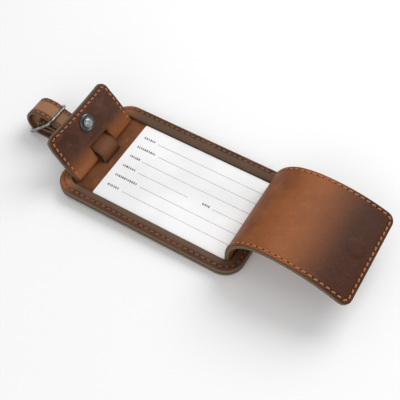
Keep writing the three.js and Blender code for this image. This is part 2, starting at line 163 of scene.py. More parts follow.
SHORT_TURN = SHORT_FOLD_RADIUS * math.radians(SHORT_LEAN)
SHORT_PATH = Path(
    SHORT_X - SHORT_FOLD_RADIUS * math.sin(math.radians(SHORT_LEAN)) - SHORT_TAB,
    SHORT_Z - SHORT_FOLD_RADIUS * (1 - math.cos(math.radians(SHORT_LEAN))),
    0,
    [(SHORT_TAB,), (SHORT_FOLD_RADIUS, SHORT_LEAN), (SHORT_LENGTH,)],
)

RAMP_SPAN = (2 * RAMP_RADIUS * math.sin(math.radians(RAMP_TURN))
             + RAMP_RUN * math.cos(math.radians(RAMP_TURN)))
STRAP_BACK = Path(*STRAP_TOP, 180, [
    (STRAP_TOP_RUN - RAMP_SPAN,), (RAMP_RADIUS, -RAMP_TURN), (RAMP_RUN,), (RAMP_RADIUS, RAMP_TURN),
    (BAR_WRAP, 180), (2,), (14, 9), (4.1,), (14, -9), (4.8,),
])
STRAP_FRONT = Path(*STRAP_TOP, 0, [
    (8.8,), (5.2, -90), (3.4,), (1.05, -90), (43.35,), (8.35, -180), (2.2,), (9, -30), (3.7,),
    (12, 30), (6.5,),
])
TAIL_DRIFT = 0.9  # how far the strap's tail lies to one side
STRAP_JOIN = STRAP_BACK.length
STRAP_LENGTH = STRAP_JOIN + STRAP_FRONT.length


def smooth(value, low, high):
    """An even rise from 0 at low to 1 at high."""
    t = min(1.0, max(0.0, (value - low) / (high - low)))
    return t * t * (3 - 2 * t)


def curve_through(points, value):
    """Reads a smooth curve through (place, height) pairs."""
    if value <= points[0][0]:
        return points[0][1]
    for (a, low), (b, high) in zip(points, points[1:]):
        if value <= b:
            return low + (high - low) * smooth(value, a, b)
    return points[-1][1]


def place_long(s, y, n):
    """Long flap: length from the crease, across, and height above its inner face."""
    x, z, angle = LONG_PATH.at(s)
    wide = FLAP_ROOT_HALF + (FLAP_TIP_HALF - FLAP_ROOT_HALF) * max(0.0, s) / LONG_LENGTH
    y = y * wide / FLAP_TIP_HALF
    return tag_point(x - n * math.sin(angle), y, z + n * math.cos(angle))


# The short flap's twist along its near and far sides: (length from the hinge, height)
SHORT_NEAR = [(0, -1.2), (4, -2.8), (12, -3.6), (20, -3.8), (25, -3.0), (29, -1.6)]
SHORT_FAR = [(0, 0.1), (3, 0.4), (7, 0.7), (11, 0.5), (16, 0.1), (22, -0.8), (29, -1.8)]


def short_warp(s, y):
    """The short flap's leather has taken a slight twist, none of it at the stud."""
    near = curve_through(SHORT_NEAR, s) * smooth(s, -3, 3)
    far = curve_through(SHORT_FAR, s) * smooth(s, -3, 3)
    t = y / SHORT_HALF
    return (far - near) / 2 * t + (far + near) / 2 * t * t


def place_short(s, y, n):
    """Short flap: length from the hinge, across, and height above its inner face."""
    x, z, angle = SHORT_PATH.at(s + SHORT_TAB + SHORT_TURN)
    thin = 0.4 + 0.6 * smooth(s, -4, 2.5)
    n = (n * thin if n < 0 else n) + short_warp(s, y)
    return tag_point(x + n * math.sin(angle), y, z - n * math.cos(angle))


def place_strap(s, y, n):
    """Strap: length from its folded end, across, and height above its outer side."""
    if s < STRAP_JOIN:
        x, z, angle = STRAP_BACK.at(STRAP_JOIN - s)
        angle += math.pi
    else:
        x, z, angle = STRAP_FRONT.at(s - STRAP_JOIN)
    n += STRAP_THICKNESS / 2
    drift = TAIL_DRIFT * smooth(s, STRAP_JOIN + 75, STRAP_JOIN + 92)
    return ground_point(x - n * math.sin(angle), y + drift, z + n * math.cos(angle))


def place_buckle(u, y, w):
    """Buckle: up its own plane from the centre bar, across, and out of the plane."""
    lean = math.radians(BUCKLE_LEAN)
    bar = Vector(JOINTS["buckle_swing"]["pos_m"])
    return bar + MM * Vector((
        u * math.cos(lean) - w * math.sin(lean), y, u * math.sin(lean) + w * math.cos(lean),
    ))


# ---- Mesh making ----

RAW = -1.0  # edge value of a cut side, where the raw leather shows


def spaced(stops, step):
    """Even steps between stops, keeping every stop."""
    values = [stops[0]]
    for a, b in zip(stops, stops[1:]):
        count = max(1, round((b - a) / step))
        values += [a + (b - a) * i / count for i in range(1, count + 1)]
    return values


class Surface:
    """Points in a piece's own millimetres, with the distance from its cut edge, and faces."""

    def __init__(self):
        self.flat, self.edge, self.faces = [], [], []

    def add(self, point, edge=5.0):
        """Adds a point and gives its number."""
        self.flat.append(Vector(point))
        self.edge.append(edge)
        return len(self.flat) - 1

    def grid(self, rows, closed=False, looped=False):
        """Quads between rows of point numbers."""
        pairs = list(zip(rows, rows[1:] + (rows[:1] if looped else [])))
        for low, high in pairs if looped else pairs[: len(rows) - 1]:
            count = len(low)
            for i in range(count if closed else count - 1):
                j = (i + 1) % count
                quad = [low[i], low[j], high[j], high[i]]
                quad = [q for k, q in enumerate(quad) if q != quad[k - 1]]
                if len(quad) > 2:
                    self.faces.append(quad)

    def extend(self, other):
        """Takes in another surface."""
        start = len(self.flat)
        self.flat += other.flat
        self.edge += other.edge
        self.faces += [[start + i for i in face] for face in other.faces]


def write_marks(mesh, flat, edge):
    """Stores each point's unbent place and its distance from the edge, for the materials."""
    places = mesh.attributes.new("flat", "FLOAT_VECTOR", "POINT")
    places.data.foreach_set("vector", [c for point in flat for c in point])
    edges = mesh.attributes.new("edge", "FLOAT", "POINT")
    edges.data.foreach_set("value", edge)


def make_object(name, surface, place, material, body=None, keep=None, sharp=None):
    """Places a surface, makes its mesh and rides it on a body. keep picks faces by their middle."""
    points = [place(*point) for point in surface.flat]
    mesh = bpy.data.meshes.new(name)
    mesh.from_pydata(points, [], surface.faces)
    turn_outward(mesh)
    mesh.shade_smooth()
    if sharp:
        mesh.set_sharp_from_angle(angle=math.radians(sharp))
    write_marks(mesh, surface.flat, surface.edge)
    if keep:
        mesh = part_of(mesh, surface, keep)
    mesh.materials.append(MATERIALS[material])
    obj = bpy.data.objects.new(name, mesh)
    bpy.context.scene.collection.objects.link(obj)
    if body:
        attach(obj, body)
    return obj


def turn_outward(mesh):
    """Makes all faces of a closed mesh look outward."""
    work = bmesh.new()
    work.from_mesh(mesh)
    bmesh.ops.recalc_face_normals(work, faces=work.faces)
    work.to_mesh(mesh)
    work.free()


def part_of(mesh, surface, keep):
    """The faces of a mesh that keep() picks, with the whole mesh's normals."""
    normals = [Vector(item.vector) for item in mesh.vertex_normals]
    chosen, used = [], {}
    for face in mesh.polygons:
        middle = sum((surface.flat[i] for i in face.vertices), Vector()) / len(face.vertices)
        if keep(middle):
            chosen.append([used.setdefault(i, len(used)) for i in face.vertices])
    order = sorted(used, key=used.get)
    part = bpy.data.meshes.new(mesh.name)
    part.from_pydata([mesh.vertices[i].co for i in order], [], chosen)
    part.shade_smooth()
    write_marks(part, [surface.flat[i] for i in order], [surface.edge[i] for i in order])
    part.normals_split_custom_set_from_vertices([normals[i] for i in order])
    bpy.data.meshes.remove(mesh)
    return part


def arc(x, y, radius, begin, steps, first=0):
    """Points of a quarter circle round a place, from a direction in degrees."""
    turns = [math.radians(begin + 90 * i / steps) for i in range(first, steps + 1)]
    return [(x + radius * math.cos(turn), y + radius * math.sin(turn)) for turn in turns]


GROOVE_DEPTH, GROOVE_WIDTH = 0.22, 0.42
WAIST_DEPTH, WAIST_HALF = 0.13, 0.14  # the seam between two layers, seen on the cut edge
PROFILE_INSETS = (3.6, 3.2, 2.9, 2.65, 2.4, 2.15, 1.9, 1.6, 1.3, 1.0, 0.7, 0.45, 0.25, 0.1)


def edge_profile(thickness, rounding, deep, groove):
    """Loops from the middle of the face round the cut edge to the back: (inset, height, edge)."""
    face = []
    for inset in [deep] + [value for value in PROFILE_INSETS if value < deep - 0.1]:
        gap = max(0.0, rounding - inset)
        height = math.sqrt(max(0.0, rounding * rounding - gap * gap)) - rounding
        height -= GROOVE_DEPTH * math.exp(-(((inset - groove) / GROOVE_WIDTH) ** 2))
        face.append((inset, height, inset))
    middle = -thickness / 2
    side = [(0.0, -rounding, RAW), (0.0, middle + WAIST_HALF, RAW), (WAIST_DEPTH, middle, RAW),
            (0.0, middle - WAIST_HALF, RAW), (0.0, rounding - thickness, RAW)]
    back = [(inset, -thickness - height, edge) for inset, height, edge in reversed(face)]
    return face + side + back


CORNER_STEPS, TIP_STEPS = 8, 12


def sheet(start, length, half, corner, profile, row_step, column_step, relief=None, notch=None):
    """A strip of leather with a straight start and a rounded tip, and an optional notch."""
    out = Surface()

    def put(s, y, height, edge=5.0):
        return out.add((s, y, height + (relief(s, y, height) if relief else 0)), edge)

    deep = profile[0][0]
    stops = [start, length - corner]
    rows = [-half + deep, half - deep]
    if notch:
        stops = [start, notch[0], notch[1], length - corner]
        rows = [-half + deep, -notch[2], notch[2], half - deep]
    stations = spaced(stops, column_step)
    across = spaced(rows, row_step)
    loops = []
    for inset, height, edge in profile:
        loop = [(s, -half + inset) for s in stations]
        radius = corner - inset
        loop += arc(length - corner, -half + corner, radius, -90, CORNER_STEPS, first=1)
        for i in range(1, TIP_STEPS + 1):
            loop.append((length - inset, -half + corner + (2 * half - 2 * corner) * i / TIP_STEPS))
        loop += arc(length - corner, half - corner, radius, 0, CORNER_STEPS, first=1)
        loop += [(s, half - inset) for s in reversed(stations[:-1])]
        loops.append([put(s, y, height, edge) for s, y in loop])
    out.grid(loops)
    count = len(stations)
    caps = []
    for loop, height in ((loops[0], profile[0][1]), (loops[-1], profile[-1][1])):
        table = []
        for i, s in enumerate(stations):
            inner = [put(s, y, height) for y in across[1:-1]]
            table.append([loop[i]] + inner + [loop[len(loop) - 1 - i]])
        caps.append(table)
        out.faces.append(table[-1] + loop[count: len(loop) - count][::-1])

    def is_open(i, j):
        """Whether a square of the sheet lies in the notch."""
        if not notch or not (0 <= i < count - 1 and 0 <= j < len(across) - 1):
            return False
        s = (stations[i] + stations[i + 1]) / 2
        y = (across[j] + across[j + 1]) / 2
        return notch[0] < s < notch[1] and abs(y) < notch[2]

    top, low = caps
    for i in range(count - 1):
        for j in range(len(across) - 1):
            if not is_open(i, j):
                for table in caps:
                    out.faces.append(
                        [table[i][j], table[i + 1][j], table[i + 1][j + 1], table[i][j + 1]])
                continue
            for step, a, b in (((-1, 0), (i, j), (i, j + 1)), ((1, 0), (i + 1, j), (i + 1, j + 1)),
                               ((0, -1), (i, j), (i + 1, j)), ((0, 1), (i, j + 1), (i + 1, j + 1))):
                if not is_open(i + step[0], j + step[1]):
                    out.faces.append(
                        [top[a[0]][a[1]], top[b[0]][b[1]], low[b[0]][b[1]], low[a[0]][a[1]]])
    near = [loop[0] for loop in loops]
    far = [loop[-1] for loop in loops]
    out.faces.append(near + low[0][1:-1] + far[::-1] + top[0][1:-1][::-1])
    return out


def rounded_loop(left, right, half, radius, corner_steps=12, side_steps=28):
    """Points round a rectangle with rounded corners; every loop has the same count."""
    points = []
    corners = [(right - radius, -half + radius, -90), (right - radius, half - radius, 0),
               (left + radius, half - radius, 90), (left + radius, -half + radius, 180)]
    for index, (x, y, begin) in enumerate(corners):
        run = arc(x, y, radius, begin, corner_steps)
        points += run
        nx, ny, turn = corners[(index + 1) % 4]
        after = arc(nx, ny, radius, turn, corner_steps)[0]
        last = run[-1]
        points += [(last[0] + (after[0] - last[0]) * i / side_steps,
                    last[1] + (after[1] - last[1]) * i / side_steps) for i in range(1, side_steps)]
    return points


def ring(loops, shape=None):
    """A closed ring through loops of (left, right, half, radius, height, edge)."""
    out = Surface()
    rows = []
    for left, right, half, radius, height, edge in loops:
        points = rounded_loop(left, right, half, radius)
        rows.append([out.add((x, y, height + (shape(x, y, height) if shape else 0)), edge)
                     for x, y in points])
    out.grid(rows, closed=True, looped=True)
    return out


def turned(profile, steps=48):
    """A turned part from (radius, height) pairs."""
    out = Surface()
    rows = []
    for radius, height in profile:
        if radius < 1e-6:
            tip = out.add((0, 0, height))
            rows.append([tip] * steps)
        else:
            rows.append([out.add((radius * math.cos(2 * math.pi * i / steps),
                                  radius * math.sin(2 * math.pi * i / steps), height), radius)
                         for i in range(steps)])
    out.grid(rows, closed=True)
    return out


def eased(profile, radius=0.12):
    """Rounds the corners of a turned profile."""
    points = [profile[0]]
    for before, at, after in zip(profile, profile[1:], profile[2:]):
        corner = Vector(at)
        back, ahead = Vector(before) - corner, Vector(after) - corner
        cut = min(radius, back.length * 0.4, ahead.length * 0.4)
        a, b = corner + back.normalized() * cut, corner + ahead.normalized() * cut
        for t in (0.0, 0.5, 1.0):
            points.append(tuple(a * (1 - t) ** 2 + corner * 2 * t * (1 - t) + b * t * t))
    return points + [profile[-1]]


# ---- Stitching ----

def walk(points, pitch, closed=False):
    """Even places along a line of points, with the direction at each."""
    line = [Vector(point) for point in points] + ([Vector(points[0])] if closed else [])
    runs = [(b - a).length for a, b in zip(line, line[1:])]
    total = sum(runs)
    count = max(1, round(total / pitch))
    places, index, used = [], 0, 0.0
    for i in range(count):
        want = (i + 0.5) * total / count
        while index < len(runs) - 1 and used + runs[index] < want:
            used += runs[index]
            index += 1
        heading = (line[index + 1] - line[index]).normalized()
        places.append((line[index] + heading * (want - used), heading))
    return places, total / count


THREAD_STEPS, THREAD_SIDES, THREAD_TWIST = 8, 8, 1.3
THREAD_SINK = 0.42  # how deep a stitch's ends lie in the leather
STITCH_SLANT, SLANT_SPREAD = 9.0, 4
HOLE_SIDES, HOLE_DEPTH = 10, 0.35
HOLE_RINGS = ((0.46, 0.02), (0.4, 0.04), (0.24, 0.0))  # radius, height


def stitched(points, pitch, height, seed, closed, width, rise):
    """Short runs of twisted thread, each diving into a needle hole at both ends."""
    thread, holes = Surface(), Surface()
    picker = random.Random(seed)
    places, pitch = walk(points, pitch, closed)
    for middle, heading in places:
        turn = math.radians(STITCH_SLANT + picker.uniform(-SLANT_SPREAD, SLANT_SPREAD))
        side = Vector((-heading.y, heading.x))
        ahead = heading * math.cos(turn) + side * math.sin(turn)
        beside = Vector((-ahead.y, ahead.x))
        length = pitch * picker.uniform(0.78, 0.84)
        lift = rise * picker.uniform(0.85, 1.1)
        rows = []
        for i in range(THREAD_STEPS + 1):
            t = i / THREAD_STEPS
            bow = math.sin(math.pi * t) ** 0.55
            radius = width / 2 * (0.62 + 0.38 * bow)
            centre = middle + ahead * length * (t - 0.5)
            row = []
            for k in range(THREAD_SIDES):
                angle = 2 * math.pi * k / THREAD_SIDES + THREAD_TWIST * t
                reach = radius * (1 + 0.1 * math.cos(2 * angle))
                out = centre + beside * reach * math.cos(angle)
                up = height - THREAD_SINK + lift * bow * 1.5 + 0.8 * reach * math.sin(angle)
                row.append(thread.add((out.x, out.y, up), t))
            rows.append(row)
        thread.grid(rows, closed=True)
        thread.faces += [rows[0][::-1], rows[-1]]
        # Each needle hole is a small plug, not a hollow; its near-black finish is painted shade.
        hole = middle + ahead * pitch * 0.5
        rows = []
        around = [2 * math.pi * k / HOLE_SIDES for k in range(HOLE_SIDES)]
        for reach, proud in HOLE_RINGS:
            spots = [hole + ahead * reach * 1.1 * math.cos(a) + beside * reach * math.sin(a)
                     for a in around]
            rows.append([holes.add((spot.x, spot.y, height + proud), reach) for spot in spots])
        base = [holes.add(tuple(holes.flat[i][:2]) + (height - HOLE_DEPTH,), 0.5) for i in rows[0]]
        holes.grid([base] + rows, closed=True)
        holes.faces += [rows[-1], base[::-1]]
    return thread, holes


def flap_line(start, length, half, corner, inset):
    """The stitch line of a flap: down one side, round the tip and back up the other."""
    radius = max(0.6, corner - inset)
    side, tip = half - inset, length - inset
    points = [(start, -side)]
    points += arc(tip - radius, -side + radius, radius, -90, CORNER_STEPS)
    points += arc(tip - radius, side - radius, radius, 0, CORNER_STEPS)
    return points + [(start, side)]


def only(surface, low, high):
    """The separate runs of a surface whose middle lies between two lengths."""
    owner = list(range(len(surface.flat)))

    def root(i):
        """The point that stands for all that a point is joined to."""
        while owner[i] != i:
            owner[i] = owner[owner[i]]
            i = owner[i]
        return i

    for face in surface.faces:
        for i in face[1:]:
            owner[root(i)] = root(face[0])
    groups = {}
    for i in range(len(surface.flat)):
        groups.setdefault(root(i), []).append(i)
    out, new = Surface(), {}
    for members in groups.values():
        middle = sum(surface.flat[i].x for i in members) / len(members)
        if low <= middle < high:
            for i in members:
                new[i] = out.add(surface.flat[i], surface.edge[i])
    out.faces = [[new[i] for i in face] for face in surface.faces if face[0] in new]
    return out


# ---- Shader groups ----

def rgb(*display):
    """A display colour as the linear colour that shaders take."""
    linear = [c / 255 / 12.92 if c <= 10 else ((c / 255 + 0.055) / 1.055) ** 2.4 for c in display]
    return (*linear, 1.0)


def feed(tree, socket, value):
    """Links a socket to another one, or sets its value."""
    if isinstance(value, bpy.types.NodeSocket):
        tree.links.new(value, socket)
    else:
        socket.default_value = value


def node(tree, kind, settings=None, **inputs):
    """A shader node with its settings and inputs."""
    item = tree.nodes.new(kind)
    for key, value in (settings or {}).items():
        setattr(item, key, value)
    for key, value in inputs.items():
        feed(tree, item.inputs[key.replace("_", " ")], value)
    return item


def noise(tree, place, scale, **inputs):
    """The value of a noise texture."""
    return node(tree, "ShaderNodeTexNoise", Vector=place, Scale=scale, **inputs).outputs[0]


def new_group(name, inputs, outputs):
    """An empty shader group with its sockets, and its input and output nodes."""
    group = bpy.data.node_groups.new(name, "ShaderNodeTree")
    for label, kind, value in inputs:
        socket = group.interface.new_socket(label, in_out="INPUT", socket_type=kind)
        if value is not None:
            socket.default_value = value
    for label, kind in outputs:
        group.interface.new_socket(label, in_out="OUTPUT", socket_type=kind)
    return group, group.nodes.new("NodeGroupInput"), group.nodes.new("NodeGroupOutput")


def math_node(tree, operation, *values, clamp=False):
    """The result of a sum on sockets and numbers."""
    item = tree.nodes.new("ShaderNodeMath")
    item.operation = operation
    item.use_clamp = clamp
    for socket, value in zip(item.inputs, values):
        feed(tree, socket, value)
    return item.outputs[0]


def mixed(tree, amount, a, b):
    """One colour mixed into another."""
    item = tree.nodes.new("ShaderNodeMix")
    item.data_type = "RGBA"
    for socket, value in ((item.inputs["Factor"], amount), (item.inputs[6], a), (item.inputs[7], b)):
        feed(tree, socket, value)
    return item.outputs[2]


def ranged(tree, value, low, high, to_low=0.0, to_high=1.0):
    """A value smoothly brought from one range to another."""
    item = tree.nodes.new("ShaderNodeMapRange")
    item.interpolation_type = "SMOOTHSTEP"
    for socket, number in zip(item.inputs, (value, low, high, to_low, to_high)):
        feed(tree, socket, number)
    return item.outputs[0]


def hide_grain_group():
    """Fine pores and creases of the hide: a height and a mask of the pores."""
    group, start, end = new_group(
        "Hide Grain",
        [("Vector", "NodeSocketVector", None), ("Scale", "NodeSocketFloat", 1.0)],
        [("Height", "NodeSocketFloat"), ("Pores", "NodeSocketFloat")],
    )
    place, scale = start.outputs["Vector"], start.outputs["Scale"]
    cells = node(group, "ShaderNodeTexVoronoi", settings={"feature": "DISTANCE_TO_EDGE"},
                 Vector=place, Scale=math_node(group, "MULTIPLY", scale, 1.35))
    fine = noise(group, place, math_node(group, "MULTIPLY", scale, 3.2), Detail=5.0, Roughness=0.62)
    broad = noise(group, place, math_node(group, "MULTIPLY", scale, 0.28), Detail=3.0)
    crease = ranged(group, cells.outputs["Distance"], 0.0, 0.16)
    height = math_node(group, "MULTIPLY", crease, 0.28)
    height = math_node(group, "ADD", height, math_node(group, "MULTIPLY", fine, 0.5))
    height = math_node(group, "ADD", height, math_node(group, "MULTIPLY", broad, 0.75))
    group.links.new(height, end.inputs["Height"])
    group.links.new(math_node(group, "SUBTRACT", 1.0, crease), end.inputs["Pores"])
    return group


def pull_up_group():
    """Oiled pull-up leather: drifting tone with lighter rubbed patches and fine streaks."""
    group, start, end = new_group(
        "Pull Up Tone",
        [("Vector", "NodeSocketVector", None), ("Scale", "NodeSocketFloat", 1.0),
         ("Dark", "NodeSocketColor", None), ("Mid", "NodeSocketColor", None),
         ("Light", "NodeSocketColor", None)],
        [("Color", "NodeSocketColor"), ("Drift", "NodeSocketFloat")],
    )
    place, scale = start.outputs["Vector"], start.outputs["Scale"]
    cloud = noise(group, place, math_node(group, "MULTIPLY", scale, 0.055),
                  Detail=4.0, Roughness=0.6, Distortion=0.6)
    rubbed = noise(group, place, math_node(group, "MULTIPLY", scale, 0.22), Detail=6.0, Roughness=0.7)
    stretch = node(group, "ShaderNodeMapping", Vector=place, Scale=(0.25, 1.6, 1.0))
    streak = noise(group, stretch.outputs[0], math_node(group, "MULTIPLY", scale, 1.1),
                   Detail=4.0, Roughness=0.65)
    drift = ranged(group, cloud, 0.34, 0.64)
    dark, mid, light = (start.outputs[name] for name in ("Dark", "Mid", "Light"))
    colour = mixed(group, drift, dark, mid)
    colour = mixed(group, ranged(group, rubbed, 0.5, 0.8, 0.0, 0.75), colour, light)
    colour = mixed(group, ranged(group, streak, 0.42, 0.7, 0.0, 0.22), colour, dark)
    group.links.new(colour, end.inputs["Color"])
    group.links.new(drift, end.inputs["Drift"])
    return group


def cut_edge_group():
    """Burnished rim and raw cut side of the leather, from the distance to its edge."""
    group, start, end = new_group(
        "Cut Edge",
        [("Color", "NodeSocketColor", None), ("Edge", "NodeSocketFloat", 5.0),
         ("Vector", "NodeSocketVector", None), ("Rim", "NodeSocketColor", None),
         ("Raw", "NodeSocketColor", None), ("Width", "NodeSocketFloat", 1.0)],
        [("Color", "NodeSocketColor"), ("Raw Mask", "NodeSocketFloat")],
    )
    fibre = noise(group, start.outputs["Vector"], 1.6, Detail=6.0, Roughness=0.75)
    uneven = math_node(group, "MULTIPLY_ADD", fibre, 0.9, -0.45)
    edge = math_node(group, "ADD", start.outputs["Edge"], uneven)
    rim = ranged(group, edge, 0.1, start.outputs["Width"], 0.85, 0.0)
    colour = mixed(group, rim, start.outputs["Color"], start.outputs["Rim"])
    raw = ranged(group, start.outputs["Edge"], -0.6, 0.0, 1.0, 0.0)
    patchy = mixed(group, ranged(group, fibre, 0.3, 0.7, 0.0, 0.55),
                   start.outputs["Raw"], start.outputs["Rim"])
    colour = mixed(group, raw, colour, patchy)
    group.links.new(colour, end.inputs["Color"])
    group.links.new(raw, end.inputs["Raw Mask"])
    return group


def metal_wear_group():
    """Faint handling marks on plated metal: a tone and a roughness change."""
    group, start, end = new_group(
        "Plated Wear",
        [("Vector", "NodeSocketVector", None),
         ("Low", "NodeSocketFloat", 0.2), ("High", "NodeSocketFloat", 0.4),
         ("Color", "NodeSocketColor", None), ("Dull", "NodeSocketColor", None)],
        [("Color", "NodeSocketColor"), ("Roughness", "NodeSocketFloat"), ("Height", "NodeSocketFloat")],
    )
    smear = noise(group, start.outputs["Vector"], 0.7, Detail=6.0, Roughness=0.7)
    scratch = noise(group, start.outputs["Vector"], 5.5, Detail=5.0)
    tone = ranged(group, smear, 0.35, 0.68)
    colour = mixed(group, tone, start.outputs["Color"], start.outputs["Dull"])
    rough = ranged(group, smear, 0.3, 0.7, start.outputs["Low"], start.outputs["High"])
    for name, value in (("Color", colour), ("Roughness", rough), ("Height", scratch)):
        group.links.new(value, end.inputs[name])
    return group


GROUPS = {}
GROUP_MAKERS = {"Hide Grain": hide_grain_group, "Pull Up Tone": pull_up_group,
                "Cut Edge": cut_edge_group, "Plated Wear": metal_wear_group}


def group_node(tree, name, **inputs):
    """A node that uses a shader group, which is made the first time."""
    if name not in GROUPS:
        GROUPS[name] = GROUP_MAKERS[name]()
    item = tree.nodes.new("ShaderNodeGroup")
    item.node_tree = GROUPS[name]
    for key, value in inputs.items():
        feed(tree, item.inputs[key.replace("_", " ")], value)
    return item


def attribute(tree, name):
    """Reads one of the values stored on each point of a piece."""
    return node(tree, "ShaderNodeAttribute", settings={"attribute_name": name})


def new_material(name, roughness=0.5, metallic=0.0):
    """A material, its nodes and its shader."""
    material = bpy.data.materials.new(name)
    material.use_nodes = True
    shader = material.node_tree.nodes["Principled BSDF"]
    shader.inputs["Roughness"].default_value = roughness
    shader.inputs["Metallic"].default_value = metallic
    return material, material.node_tree, shader


def add_bump(tree, shader, height, strength, distance):
    """Raises the surface by a height value."""
    bump = node(tree, "ShaderNodeBump", Strength=strength, Distance=distance, Height=height)
    tree.links.new(bump.outputs[0], shader.inputs["Normal"])


INNER_AMOUNT, PORE_AMOUNT, RECESS_AMOUNT = 0.8, 0.28, 0.85
LEATHER_BUMP, THREAD_BUMP = (0.55, 0.00022), (0.5, 0.0001)  # strength, distance in metres
METAL_BUMP, PAPER_BUMP = (0.08, 0.00001), (0.2, 0.00005)


def leather(name, dark, mid, light, rim, raw,
            rim_width=1.2, gloss=0.44, shine=0.22, tone_and_light_bands=(), inner=None):
    """Leather with grain, drifting tone, a burnished rim and raw cut sides.

    tone_and_light_bands darken or lighten along the piece; some bands are the leather's own tone, others
    painted highlight and painted shade: (colour, start, end, amount).
    inner blends in a band beyond a distance from the edge, a greyer inner band on the frame and a painted
    highlight down the strap's middle: (colour, start, end).
    """
    material, tree, shader = new_material(name, gloss)
    shader.inputs["Specular IOR Level"].default_value = shine
    flat = attribute(tree, "flat").outputs["Vector"]
    edge = attribute(tree, "edge").outputs["Fac"]
    tone = group_node(tree, "Pull Up Tone", Vector=flat, Dark=dark, Mid=mid, Light=light)
    hide = group_node(tree, "Hide Grain", Vector=flat)
    colour = tone.outputs["Color"]
    if inner:
        tint, begin, finish = inner
        colour = mixed(tree, ranged(tree, edge, begin, finish, 0.0, INNER_AMOUNT), colour, tint)
    along = node(tree, "ShaderNodeSeparateXYZ", Vector=flat).outputs[0]
    for tint, begin, finish, amount in tone_and_light_bands:
        colour = mixed(tree, ranged(tree, along, begin, finish, 0.0, amount), colour, tint)
    pores = math_node(tree, "MULTIPLY", hide.outputs["Pores"], PORE_AMOUNT)
    colour = mixed(tree, pores, colour, dark)
    cut = group_node(tree, "Cut Edge", Color=colour, Edge=edge, Vector=flat,
                     Rim=rim, Raw=raw, Width=rim_width)
    tree.links.new(cut.outputs["Color"], shader.inputs["Base Color"])
    rough = math_node(tree, "MULTIPLY_ADD", hide.outputs["Height"], 0.2, gloss - 0.12)
    rough_sides = math_node(tree, "MULTIPLY", cut.outputs["Raw Mask"], 0.3)
    rough = math_node(tree, "ADD", rough, rough_sides, clamp=True)
    tree.links.new(rough, shader.inputs["Roughness"])
    add_bump(tree, shader, hide.outputs["Height"], *LEATHER_BUMP)
    return material


def thread_material(name, light, dark):
    """Waxed thread with a twist, darker at both ends as painted shade."""
    material, tree, shader = new_material(name, 0.55)
    flat = attribute(tree, "flat").outputs["Vector"]
    twist = node(tree, "ShaderNodeTexWave", settings={"bands_direction": "DIAGONAL"},
                 Vector=flat, Scale=1.6, Distortion=1.5)
    fuzz = noise(tree, flat, 4.0, Detail=4.0)
    colour = mixed(tree, ranged(tree, twist.outputs["Fac"], 0.2, 0.8), dark, light)
    colour = mixed(tree, ranged(tree, fuzz, 0.4, 0.75, 0.0, 0.5), colour, light)
    # Painted shade: each stitch darkens toward both ends, where it dives into its needle hole.
    end = attribute(tree, "edge").outputs["Fac"]
    away = math_node(tree, "ABSOLUTE", math_node(tree, "SUBTRACT", end, 0.5))
    colour = mixed(tree, ranged(tree, away, 0.3, 0.5, 0.0, 0.75), colour, dark)
    tree.links.new(colour, shader.inputs["Base Color"])
    add_bump(tree, shader, twist.outputs["Fac"], *THREAD_BUMP)
    return material


def metal(name, bright, dull, low, high, recess=None):
    """Plated metal; recess darkens it below a height as painted shade: (colour, start, end)."""
    material, tree, shader = new_material(name, low, 1.0)
    flat = attribute(tree, "flat").outputs["Vector"]
    wear = group_node(tree, "Plated Wear", Vector=flat, Low=low, High=high, Color=bright, Dull=dull)
    colour = wear.outputs["Color"]
    if recess:
        tint, begin, finish = recess
        height = node(tree, "ShaderNodeSeparateXYZ", Vector=flat).outputs[2]
        depth = ranged(tree, height, begin, finish, 0.0, RECESS_AMOUNT)
        colour = mixed(tree, depth, colour, tint)
    tree.links.new(colour, shader.inputs["Base Color"])
    tree.links.new(wear.outputs["Roughness"], shader.inputs["Roughness"])
    add_bump(tree, shader, wear.outputs["Height"], *METAL_BUMP)
    return material


def paper_material():
    """Card stock with a faint tooth and slow change of tone."""
    material, tree, shader = new_material("card_stock", 0.62)
    place = tree.nodes.new("ShaderNodeTexCoord").outputs["Object"]
    tooth = noise(tree, place, 2600.0, Detail=4.0)
    slow = ranged(tree, noise(tree, place, 26.0, Detail=3.0), 0.35, 0.65)
    feed(tree, shader.inputs["Base Color"], mixed(tree, slow, rgb(222, 222, 223), rgb(232, 232, 232)))
    add_bump(tree, shader, tooth, *PAPER_BUMP)
    return material


def ink_material(name, colour, faded):
    """Printed grey ink, unevenly laid."""
    material, tree, shader = new_material(name, 0.6)
    flat = attribute(tree, "flat").outputs["Vector"]
    worn = ranged(tree, noise(tree, flat, 0.9, Detail=5.0), 0.4, 0.7)
    feed(tree, shader.inputs["Base Color"], mixed(tree, worn, colour, faded))
    return material


MATERIALS = {}


